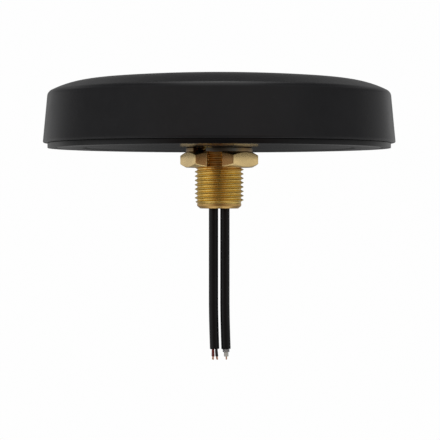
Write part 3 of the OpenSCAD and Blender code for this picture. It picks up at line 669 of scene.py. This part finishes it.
stem_hole = Shell().lathe([(0, 3.5), (1.35, 3.5), (1.35, 6.9), (1.6, 7.3), (0, 7.4)], n=32)
holes = Shell()
for angle in QUARTER_ANGLES:
    holes.add_polar(stem_hole, FLANGE_CIRCLE_R, angle)
carve(stem_obj, holes, sharp=50)

# ---------------------------------------------------------------- nut and washer, slotted
SLOT_HALF = 2.5
NUT_SLOT_DIR, WASHER_SLOT_DIR = math.radians(-90 - 7.9), math.radians(-90 - 37)  # from +X


def slotted_body(sections, slot_dir, edge):
    """Lofts closed profiles round from one flat slot wall to the other.

    sections: (angle from the slot, profile). A profile point is (r, z), or (r, function)
    where the function gives (r, z) at an angle from +X. edge is the slot's edge chamfer.
    """
    first = sections[0][0]
    total = sections[-1][0] - first
    loops = []
    for angle, profile in sections:
        part = (angle - first) / total
        loop = []
        for r, z in profile:
            start = math.asin(min(1, (SLOT_HALF + edge) / r))
            theta = angle + (start - first) * (1 - 2 * part) + slot_dir
            if callable(z):
                r, z = z(theta)
            loop.append((r * math.cos(theta), r * math.sin(theta), z))
        loops.append(loop)
    outward = np.array([math.cos(slot_dir), math.sin(slot_dir), 0])
    across = np.array([-math.sin(slot_dir), math.cos(slot_dir), 0])

    def slot_wall(loop, sign):
        """The loop pressed flat on the slot wall and drawn in by the chamfer."""
        points = np.array(loop)
        y, z = points @ outward, points[:, 2]
        mid_y, mid_z = (y.min() + y.max()) / 2, (z.min() + z.max()) / 2
        shrink_y = 1 - edge / ((y.max() - y.min()) / 2)
        shrink_z = 1 - edge / ((z.max() - z.min()) / 2)
        return [tuple(outward * (mid_y + (py - mid_y) * shrink_y) + across * sign * SLOT_HALF
                      + np.array([0, 0, mid_z + (pz - mid_z) * shrink_z]))
                for py, pz in zip(y, z)]

    return Shell().loft([slot_wall(loops[0], 1)] + loops + [slot_wall(loops[-1], -1)])


NUT_HALF, NUT_LOW_Z, NUT_TOP_Z = 11.1, -6.5, -1.5  # half the width across flats, and the faces
NUT_CHAMFER_R, NUT_CORNER_R = 10.85, 0.16
NUT_MOUTH_R = 8.52


def hex_outline():
    """(angle, radius) of the rounded hexagon, from one slot wall round to the other."""
    points = []
    cos30 = math.cos(math.radians(30))
    slotted = [SLOT_HALF + 0.05, 3.2, 3.9, 4.6, 5.2, 5.7]
    for k in range(7):  # flats 0 and 6 are the two halves of the slotted one
        middle = math.radians(60 * k)
        if k == 0:
            along = slotted
        elif k == 6:
            along = [-y for y in reversed(slotted)]
        else:
            along = np.linspace(-5.9, 5.9, 17)
        points += [(middle + math.atan2(y, NUT_HALF), math.hypot(NUT_HALF, y)) for y in along]
        if k < 6:
            centre_r = NUT_HALF / cos30 - NUT_CORNER_R / cos30
            for x, y in arc((centre_r, 0), NUT_CORNER_R, -28, 28, 7):
                points.append((middle + math.radians(30) + math.atan2(y, x), math.hypot(x, y)))
    return points


def nut_thread_row(turns):
    """A row of the inside thread: it follows the stem's helix, held between the nut's faces."""
    def at(theta):
        z = float(np.clip(CREST_Z + PITCH * (theta / TAU + turns),
                          NUT_LOW_Z + 0.02, NUT_TOP_Z - 0.02))
        inside = max(float(thread_r(z, theta)) + 0.09, 7.3)
        mouth = 8.5 - min(z - NUT_LOW_Z, NUT_TOP_Z - z)
        return max(inside, mouth), z
    return at


low_turn = math.floor((NUT_LOW_Z - CREST_Z) / PITCH - 1.6)
top_turn = math.ceil((NUT_TOP_Z - CREST_Z) / PITCH + 1.6)
nut_rows = [(7.9, nut_thread_row(turn + offset))
            for turn in range(low_turn, top_turn + 1) for offset, _ in THREAD_ROWS]


def nut_profile(flat_r):
    drop = max(0.0, flat_r - NUT_CHAMFER_R) * 0.577  # the 30 degree chamfer
    soft = min(0.13, (flat_r - NUT_CHAMFER_R) * 0.45)
    half = [  # (r, depth below the face)
        (NUT_MOUTH_R, 0), (NUT_CHAMFER_R - 0.6, 0), (NUT_CHAMFER_R - 0.1, 0.004),
        (NUT_CHAMFER_R + 0.12, 0.09), (max(flat_r - soft, NUT_CHAMFER_R + 0.13), drop - soft * 0.5),
        (flat_r - soft * 0.22, drop + soft * 0.22), (flat_r, drop + soft * 1.1)]
    top = [(r, NUT_TOP_Z - depth) for r, depth in half]
    low = [(r, NUT_LOW_Z + depth) for r, depth in reversed(half)]
    return top + [(flat_r, (NUT_TOP_Z + NUT_LOW_Z) / 2)] + low + nut_rows


nut = slotted_body([(angle, nut_profile(r)) for angle, r in hex_outline()], NUT_SLOT_DIR, edge=0.05)
piece("nut_slotted", nut, ["nut"], "nut", ["hex_nut"], sharp=30, merge=1e-6)

WASHER_LOW_Z, WASHER_TOP_Z = -1.48, -0.12
WASHER_IN, WASHER_OUT, WASHER_EDGE = STEM_R + 0.08, 10.8, 0.1
washer_profile = fillet([
    (WASHER_IN, WASHER_LOW_Z, 0.12), (WASHER_OUT, WASHER_LOW_Z, 0.18),
    (WASHER_OUT, WASHER_TOP_Z, 0.18), (WASHER_IN, WASHER_TOP_Z, 0.12)])
start = math.asin((SLOT_HALF + WASHER_EDGE) / WASHER_OUT)
washer = slotted_body([(angle, washer_profile) for angle in np.linspace(start, TAU - start, 121)],
                      WASHER_SLOT_DIR, edge=WASHER_EDGE)
piece("washer_open", washer, ["washer"], "washer", ["lock_washer"], sharp=50)

# ---------------------------------------------------------------- grommet
LEAD_X, LEAD_R = 1.85, 1.525  # each lead's distance from the axis, and its radius
grommet_shape = Shell().lathe([(0, -18.75)] + fillet([
    (3.6, -18.78, 0), (4.98, -18.9, 0.25), (4.98, -14.9, 0.25), (0, -14.9, 0)],
    closed=False), n=96)
grommet = piece("stem_grommet", grommet_shape, ["rubber"], "housing", ["cable_grommet"])
lead_hole = Shell().lathe([
    (0, -19.4), (2.1, -19.4), (1.56, -18.6), (1.56, -15.1), (1.8, -14.6), (0, -14.6)], n=48)
holes = Shell()
for side in (-1, 1):
    holes.add_at(lead_hole, side * LEAD_X, 0)
carve(grommet, holes)

# ---------------------------------------------------------------- leads
JACKET_END, LEAD_END = -65.5, -69.0
CORE_TOP = JACKET_END + 0.5           # cores start inside the jacket
INSULATION_END, WIRE_TOP = LEAD_END + 1.05, LEAD_END + 1.15
BEND_R, BEND_Z = 6, 3                 # bend from the level run into the stem


def drift(z):
    """The leads hang with a slight lean to +X near their lower ends."""
    return 0.42 * np.clip((-z - 50.0) / 17.0, 0, 2) ** 1.6


def lead_path(side):
    """Centre line from the level run in the housing, round the bend and down the stem."""
    bend_x = LEAD_X + BEND_R
    points = [(side * x, 0, BEND_Z + BEND_R) for x in np.linspace(27, bend_x, 24)]
    points += [(side * (bend_x - BEND_R * math.sin(a)), 0, BEND_Z + BEND_R * math.cos(a))
               for a in np.radians(np.linspace(0, 90, 22))[1:]]
    points += [(side * LEAD_X, 0, z) for z in np.linspace(2, -18.5, 22)]
    points += [(side * LEAD_X + drift(z), 0, z) for z in np.linspace(-19.5, JACKET_END, 84)]
    return points


# cut end of a jacket, from inside its short bore to the outside: (distance from end, radius)
JACKET_CUT = [(0.7, 0.6), (0.7, 1.14), (0.05, 1.16), (0, 1.22), (0, LEAD_R - 0.1),
              (0.03, LEAD_R - 0.03), (0.1, LEAD_R)]


def jacket(name, side, nodes):
    stations = path_stations(lead_path(side), LEAD_R)
    (first, ahead, _), (last, tail_ahead, _) = stations[0], stations[-1]
    ahead, tail_ahead = ahead / np.linalg.norm(ahead), tail_ahead / np.linalg.norm(tail_ahead)
    head = [(first + ahead * inset, ahead, r) for inset, r in JACKET_CUT]
    tail = [(last - tail_ahead * inset, tail_ahead, r) for inset, r in reversed(JACKET_CUT)]
    shell = Shell().tube(head + stations[1:-1] + tail, n=40)
    obj = piece(name, shell, ["jacket"], None, nodes, sharp=50, merge=1e-7)
    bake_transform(obj)


jacket("data_lead_jacket", -1, ["data_lead_inner", "data_jacket"])
jacket("coax_lead_jacket", 1, ["coax_lead_inner", "coax_jacket"])


def core_line(x, y, top, low, count, spread=0.0, twist=0.0, side=1):
    """Centre line of a core, (x, y) off its lead's centre. Below the jacket it opens out."""
    out = []
    for z in np.linspace(top, low, count):
        part = np.clip((JACKET_END - z) / (JACKET_END - LEAD_END), 0, 1)
        angle = math.atan2(y, x) + twist * part
        r = math.hypot(x, y) * (1 + spread * part * part)
        out.append((side * LEAD_X + drift(z) + r * math.cos(angle), r * math.sin(angle), z))
    return np.array(out)


def add_strands(shell, line, ring_r, wire_r, turns):
    """A stranded conductor: one wire in the middle and six laid around it."""
    ahead = np.gradient(line, axis=0)
    ahead /= np.linalg.norm(ahead, axis=1)[:, None]
    up = np.cross(ahead, np.array([1.0, 0, 0]))
    up /= np.linalg.norm(up, axis=1)[:, None]
    side = np.cross(ahead, up)
    shell.tube(path_stations(line, wire_r, blunt=wire_r * 0.4), n=10)
    for k in range(6):
        angle = TAU * k / 6 + np.linspace(0, TAU * turns, len(line))
        wire = line + ring_r * (np.cos(angle)[:, None] * up + np.sin(angle)[:, None] * side)
        wire = wire - ahead[-1] * 0.08 * ((k * 0.618) % 1.0)  # uneven ends
        shell.tube(path_stations(wire, wire_r, blunt=wire_r * 0.4), n=10)


CORE_OFF = 0.55
cores, wires = Shell(), Shell()
for k, (x, y) in enumerate(((-1, -1), (1, -1), (1, 1), (-1, 1))):
    x, y = x * CORE_OFF, y * CORE_OFF
    opening = {"spread": 0.28, "twist": 0.2, "side": -1}
    line = core_line(x, y, CORE_TOP, INSULATION_END, 14, **opening)
    cores.tube(path_stations(line, 0.43, blunt=0.07), n=24, mat=k)
    line = core_line(x, y, WIRE_TOP, LEAD_END, 12, **opening)
    add_strands(wires, line, ring_r=0.145, wire_r=0.072, turns=0.2)
piece("data_cores_coloured", cores, ["red", "black", "white", "green"], "data_lead",
      ["data_cores"], sharp=50, merge=1e-7)
piece("data_strands", wires, ["wire"], "data_lead", ["data_conductors"],
      sharp=60, merge=1e-7)


def braid_wire(way, start, offset):
    """One wire of the braid, weaving over and under. way is the hand of its turn."""
    points = []
    for j in range(46):
        z = JACKET_END + 0.4 - 1.42 * j / 45
        angle = start + way * (j / 45) * 1.3 + offset
        weave = math.cos(way * (angle * 5) + (0 if way > 0 else math.pi) + j / 45 * 6.5)
        r = 1.02 + 0.045 * weave
        points.append((LEAD_X + drift(z) + r * math.cos(angle), r * math.sin(angle),
                       z + 0.12 * abs(offset) * 10 * (j / 45)))
    return points


braid = Shell()
for way in (-1, 1):
    for k in range(10):
        for offset in (-0.09, 0, 0.09):
            braid.tube(path_stations(braid_wire(way, TAU * k / 10, offset), 0.042), n=6)
line = core_line(0, 0, CORE_TOP, LEAD_END + 2.55, 8)
braid.tube(path_stations(line, 0.94, blunt=0.05), n=32)
piece("coax_braid_wires", braid, ["braid"], "coax_lead", ["coax_braid"],
      sharp=70, merge=1e-8)
line = core_line(0, 0, LEAD_END + 2.7, INSULATION_END, 12)
piece("coax_insulator", Shell().tube(path_stations(line, 0.75, blunt=0.08), n=40), ["poly"],
      "coax_lead", ["coax_dielectric"], sharp=50, merge=1e-7)
core = Shell()
add_strands(core, core_line(0, 0, WIRE_TOP, LEAD_END, 12), ring_r=0.165, wire_r=0.082, turns=0.25)
piece("coax_centre_wire", core, ["wire"], "coax_lead", ["coax_core"],
      sharp=60, merge=1e-7)

# ---------------------------------------------------------------- inner parts kept from the CAD
CAD_LOOK = {  # part: (material, bevel width)
    "cover_inserts": ("insert", 0.08), "foam_pad": ("foam", 0.12),
    "upper_electrode": ("silver", 0.02), "upper_patch": ("ceramic", 0.12),
    "lower_electrode": ("silver", 0.02), "lower_patch": ("ceramic", 0.15),
    "feed_pins": ("tin", 0.04), "main_board": ("board", 0.06), "board_chips": ("chip", 0.07),
    "receiver_module": ("module", 0.06), "receiver_shield": ("tin", 0.12),
    "front_end_shield": ("tin", 0.12), "board_screws": ("screw", 0.07),
    "data_plug": ("nylon", 0.12), "data_wires_inner": ("red", 0.04),
    "coax_ferrule": ("insert", 0.08), "coax_feed": ("poly", 0.04),
    "link_carrier": ("carrier", 0.18), "link_antenna": ("copper", 0.04),
    "cable_saddles": ("carrier", 0.2), "saddle_screws": ("screw", 0.07),
    "cover_seal": ("rubber", 0.0), "cover_screws": ("screw", 0.05),
    "stem_seal": ("rubber", 0.0), "stem_screws": ("screw", 0.07),
}
for part, (key, width) in CAD_LOOK.items():
    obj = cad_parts[part]
    obj.data.materials.clear()
    obj.data.materials.append(MAT[key])
    weld = obj.modifiers.new("weld", "WELD")
    weld.merge_threshold = 1e-6
    if width:
        bevel = obj.modifiers.new("soften", "BEVEL")
        bevel.width, bevel.segments = width * MM, 2
        bevel.limit_method, bevel.angle_limit = "ANGLE", math.radians(38)
        bevel.harden_normals = False
        bevel.use_clamp_overlap = True

# ---------------------------------------------------------------- pale floor, in metres
FLOOR_HALF, STAGE_Z = 3, -0.16
WHITE, PALE = (1, 1, 1, 1), 0.99  # colour and brightness of the backdrop
floor_mesh = bpy.data.meshes.new("floor")
floor_mesh.from_pydata([(x * FLOOR_HALF, y * FLOOR_HALF, STAGE_Z)
                        for x, y in ((-1, -1), (1, -1), (1, 1), (-1, 1))], [], [(0, 1, 2, 3)])
floor = bpy.data.objects.new("floor", floor_mesh)
bpy.context.scene.collection.objects.link(floor)


def floor_material():
    """Glows on its upper side and is clear from below."""
    material = bpy.data.materials.new("floor_pale")
    g = fresh_graph(material)
    out = g.node("OutputMaterial")
    glow = g.node("Emission", {"Color": WHITE, "Strength": PALE})
    clear = g.node("BsdfTransparent")
    back = g.node("NewGeometry").outputs["Backfacing"]
    mix = g.node("MixShader", {0: back, 1: glow.outputs[0], 2: clear.outputs[0]})
    g.feed(out.inputs[0], mix.outputs[0])
    return material


floor_mesh.materials.append(floor_material())
floor.visible_diffuse = False
floor.visible_glossy = False
floor.visible_shadow = False

# ---------------------------------------------------------------- studio surroundings
# Curves of (degrees, brightness). AZ runs from 0 at the front to 180 behind, SIGNED is the same
# but positive to the right and negative to the left, and EL is height over the horizon.
SIDES_AZ = [
    (0, 0.0), (14, 0.01), (24, 0.05), (38, 0.48), (52, 0.80), (80, 0.84), (95, 0.72),
    (104, 0.60), (125, 0.58), (142, 0.54), (153, 0.46), (163, 0.22), (172, 0.03), (180, 0.0)]
SIDES_EL = [
    (-90, 0.10), (-50, 0.20), (-18, 0.40), (-8, 0.95), (2, 1.0), (7, 0.46), (14, 0.33),
    (22, 0.38), (30, 0.66), (38, 0.42), (46, 0.18), (60, 0.06), (90, 0.0)]
SIDES_SIGNED = [
    (-180, 0.85), (-155, 0.8), (-143, 0.9), (-134, 1.25), (-126, 1.15), (-112, 1.0),
    (-60, 1.1), (-25, 1.15), (0, 1.0), (32, 0.74), (60, 0.84), (95, 0.98), (130, 1.0),
    (180, 1.0)]
# extra factor on the sides above the horizon, and where it takes over
UPPER_AZ = [(0, 0.35), (80, 0.35), (95, 0.5), (104, 0.8), (112, 1.08), (125, 1.12), (140, 1.0),
            (180, 1.0)]
UPPER_EL = [(-90, 0.0), (3, 0.0), (9, 1.0), (90, 1.0)]
# arch of light overhead: 0 at the front horizon, 90 overhead, 180 behind; ACROSS fades it in X
ARCH = [
    (-90, 0.0), (12, 0.0), (30, 0.22), (50, 0.84), (70, 1.50), (88, 1.66), (102, 1.32),
    (114, 0.65), (122, 0.18), (132, 0.07), (150, 0.03), (180, 0.0)]
ACROSS = [(0, 1.0), (15, 1.0), (18.5, 0.6), (24, 0.18), (30, 0.06), (50, 0.04), (90, 0.03)]
# low glow below the horizon
BELOW_EL = [(-90, 0.30), (-45, 0.24), (-20, 0.12), (-8, 0.0), (0, 0.0), (90, 0.0)]
BELOW_AZ = [(0, 1.0), (120, 1.0), (165, 0.2), (180, 0.2)]
# patch behind, about the horizon
BEHIND_EL = [
    (-90, 0.0), (-45, 0.04), (-30, 0.20), (-21, 0.24), (-13, 0.24), (-8, 0.17), (-3, 0.14),
    (0, 0.14), (4, 0.06), (10, 0.0), (90, 0.0)]
BEHIND_AZ = [(0, 0.0), (150, 0.0), (168, 1.3), (174, 1.2), (176.2, 0.52), (178, 0.32),
             (180, 0.28)]
# fill from the front, above the horizon
FILL_EL = [(-90, 0.0), (2, 0.0), (7, 0.30), (13, 0.45), (40, 0.42), (65, 0.15), (90, 0.0)]
FILL_AZ = [(0, 1.0), (40, 0.95), (60, 0.62), (75, 0.28), (95, 0.08), (115, 0.0), (180, 0.0)]
# faint light behind, above the horizon
RISE_EL = [(-90, 0.0), (2, 0.0), (7, 0.18), (14, 0.14), (24, 0.075), (38, 0.055), (55, 0.03),
           (75, 0.0), (90, 0.0)]
RISE_AZ = [(0, 0.0), (130, 0.0), (155, 1.0), (166, 1.5), (175, 1.1), (180, 1.0)]
# light from steeply below, behind
UNDER_EL = [(-90, 0.7), (-60, 0.6), (-48, 0.0), (0, 0.0), (90, 0.0)]
UNDER_AZ = [(0, 0.0), (70, 0.0), (120, 0.8), (150, 1.0), (180, 1.0)]
# strips to the left and right, just under the horizon
STRIP_SIGNED = [(-180, 0.0), (-104, 0.0), (-88, 0.30), (-62, 0.26), (-44, 0.0), (0, 0.0),
                (60, 0.0), (75, 0.10), (95, 0.10), (110, 0.0), (180, 0.0)]
STRIP_EL = [(-90, 0.0), (-22, 0.0), (-12, 1.0), (1, 1.0), (6, 0.0), (90, 0.0)]
# warm light from the front
WARM_AZ = [(0, 0.04), (8, 0.08), (16, 0.22), (26, 0.19), (42, 0.08), (60, 0.0), (180, 0.0)]
WARM_EL = [(-90, 0.0), (-40, 0.2), (-12, 1.0), (5, 1.0), (12, 0.25), (30, 0.0), (90, 0.0)]
WARM_TINT = (1.0, 0.56, 0.34)


def curve(g, value, stops):
    """Eased curve of an angle through (degrees, brightness) stops."""
    low, high = stops[0][0], stops[-1][0]
    top = max(y for _, y in stops)
    part = g.calc("DIVIDE", g.calc("SUBTRACT", value, low), high - low)
    ramp = g.node("ValToRGB")
    ramp.color_ramp.interpolation = "EASE"
    elements = ramp.color_ramp.elements
    while len(elements) > 1:
        elements.remove(elements[-1])
    for i, (x, y) in enumerate(stops):
        x, y = (x - low) / (high - low), y / top
        if i:
            element = elements.new(x)
        else:
            element = elements[0]
            element.position = x
        element.color = (y, y, y, 1)
    g.feed(ramp.inputs[0], part)
    return g.mul(ramp.outputs[0], top)


def build_world():
    world = bpy.data.worlds.new("studio")
    bpy.context.scene.world = world
    g = fresh_graph(world)
    out = g.node("OutputWorld")
    coord = g.node("TexCoord")
    x, y, z = g.node("SeparateXYZ", {0: coord.outputs["Generated"]}).outputs

    def degrees(value):
        return g.mul(value, 180 / math.pi)

    def lobe(first, first_stops, second, second_stops):
        return g.mul(curve(g, first, first_stops), curve(g, second, second_stops))

    signed = degrees(g.calc("ARCTAN2", x, g.mul(y, -1.0)))
    az = g.calc("ABSOLUTE", signed)
    el = degrees(g.calc("ARCSINE", z))
    arch = degrees(g.calc("ARCTAN2", z, g.mul(y, -1.0)))
    across = degrees(g.calc("ABSOLUTE", g.calc("ARCSINE", g.add(x, 0.01))))

    sides = lobe(az, SIDES_AZ, el, SIDES_EL)
    sides = g.mul(sides, curve(g, signed, SIDES_SIGNED))
    upper = curve(g, el, UPPER_EL)
    lower = g.calc("SUBTRACT", 1.0, upper)
    sides = g.mul(sides, g.add(lower, g.mul(upper, curve(g, az, UPPER_AZ))))
    overhead = lobe(arch, ARCH, across, ACROSS)
    below = lobe(el, BELOW_EL, az, BELOW_AZ)
    behind = lobe(el, BEHIND_EL, az, BEHIND_AZ)
    fill = lobe(el, FILL_EL, az, FILL_AZ)
    rise = lobe(el, RISE_EL, az, RISE_AZ)
    light = g.add(g.add(sides, overhead), g.add(below, behind))
    light = g.add(light, g.add(fill, rise))
    light = g.add(light, lobe(el, UNDER_EL, az, UNDER_AZ))
    light = g.add(light, lobe(signed, STRIP_SIGNED, el, STRIP_EL))
    warm = lobe(az, WARM_AZ, el, WARM_EL)
    sky = g.node("CombineColor")
    for k, tint in enumerate(WARM_TINT):
        g.feed(sky.inputs[k], g.add(light, g.mul(warm, tint)))
    studio = g.node("Background", {"Color": sky.outputs[0], "Strength": 1.0})
    # the camera itself sees plain white
    white = g.node("Background", {"Color": WHITE, "Strength": PALE})
    seen = g.node("LightPath").outputs["Is Camera Ray"]
    mix = g.node("MixShader", {0: seen, 1: studio.outputs[0], 2: white.outputs[0]})
    g.feed(out.inputs[0], mix.outputs[0])


build_world()


def softbox(name, place, aim, size, power):
    data = bpy.data.lights.new(name, "AREA")
    data.shape, data.size, data.size_y, data.energy = "RECTANGLE", size[0], size[1], power
    obj = bpy.data.objects.new(name, data)
    bpy.context.scene.collection.objects.link(obj)
    obj.location = place
    obj.rotation_euler = (Vector(aim) - Vector(place)).to_track_quat("-Z", "Y").to_euler()
    obj.visible_camera = False


softbox("overhead_softbox", place=(-0.01, 0.02, 0.78), aim=(0, 0, 0), size=(0.26, 0.22), power=0.3)

# ---------------------------------------------------------------- camera, in front and just below
CAMERA_PLACE = (0.00026, -0.584, -0.0159)
CAMERA_DIP = 0.75  # degrees below level
cam_data = bpy.data.cameras.new("camera")
cam_data.sensor_width = 36.0
cam_data.lens = 146.9
cam_data.clip_start, cam_data.clip_end = 0.01, 20.0
cam = bpy.data.objects.new("camera", cam_data)
cam.location = CAMERA_PLACE
cam.rotation_euler = (math.radians(90 - CAMERA_DIP), 0, 0)
bpy.context.scene.collection.objects.link(cam)

scene = bpy.context.scene
scene.camera = cam
scene.view_settings.view_transform = "Standard"
scene.view_settings.look = "None"
scene.view_settings.exposure = 0.0
scene.view_settings.gamma = 1.0
